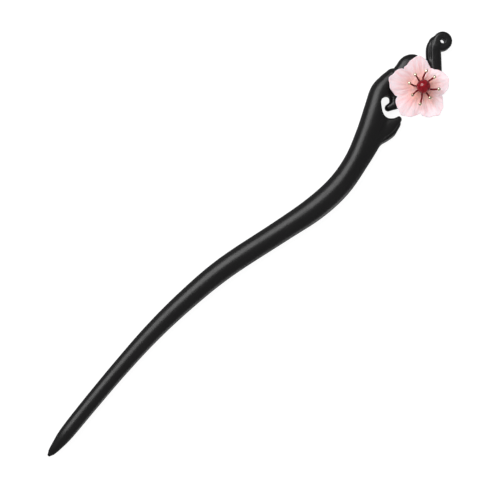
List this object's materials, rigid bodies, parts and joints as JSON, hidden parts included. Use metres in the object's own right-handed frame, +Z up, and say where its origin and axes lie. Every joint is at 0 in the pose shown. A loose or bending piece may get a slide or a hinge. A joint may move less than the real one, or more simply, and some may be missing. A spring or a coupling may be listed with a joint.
{
  "type": "decorative hair stick",
  "caption": "S-curved black wooden hair stick with a carved cloud and scroll head, carrying a pink shell blossom with a red bead and ball-tipped stamens.",
  "frame": {"origin": "middle of the object's box in X and Y, at the height of its flat back", "axes": "+X runs along the stick from the tip to the scroll, +Y crosses the stick towards the crest, +Z points up from the flat back through the blossom"},
  "size_m": [0.18, 0.0214, 0.0116],
  "materials": {
    "black_wood": "black hardwood, oiled to a satin finish",
    "pink_shell": "pale pink carved shell, coral towards the centre, softly polished",
    "red_stone": "deep red stone, highly polished",
    "brass_peg": "plain drawn wire",
    "gilt_wire": "wire with a dark red finish and bright pale gold ball tips"
  },
  "bodies": {
    "root": {"hair_stick": "black_wood", "shell_flower": "pink_shell", "bead": "red_stone", "bead_pin": "brass_peg", "stamen_1": "gilt_wire", "stamen_2": "gilt_wire", "stamen_3": "gilt_wire", "stamen_4": "gilt_wire", "stamen_5": "gilt_wire", "stamen_6": "gilt_wire", "stamen_7": "gilt_wire", "stamen_8": "gilt_wire"}
  },
  "joints": []
}
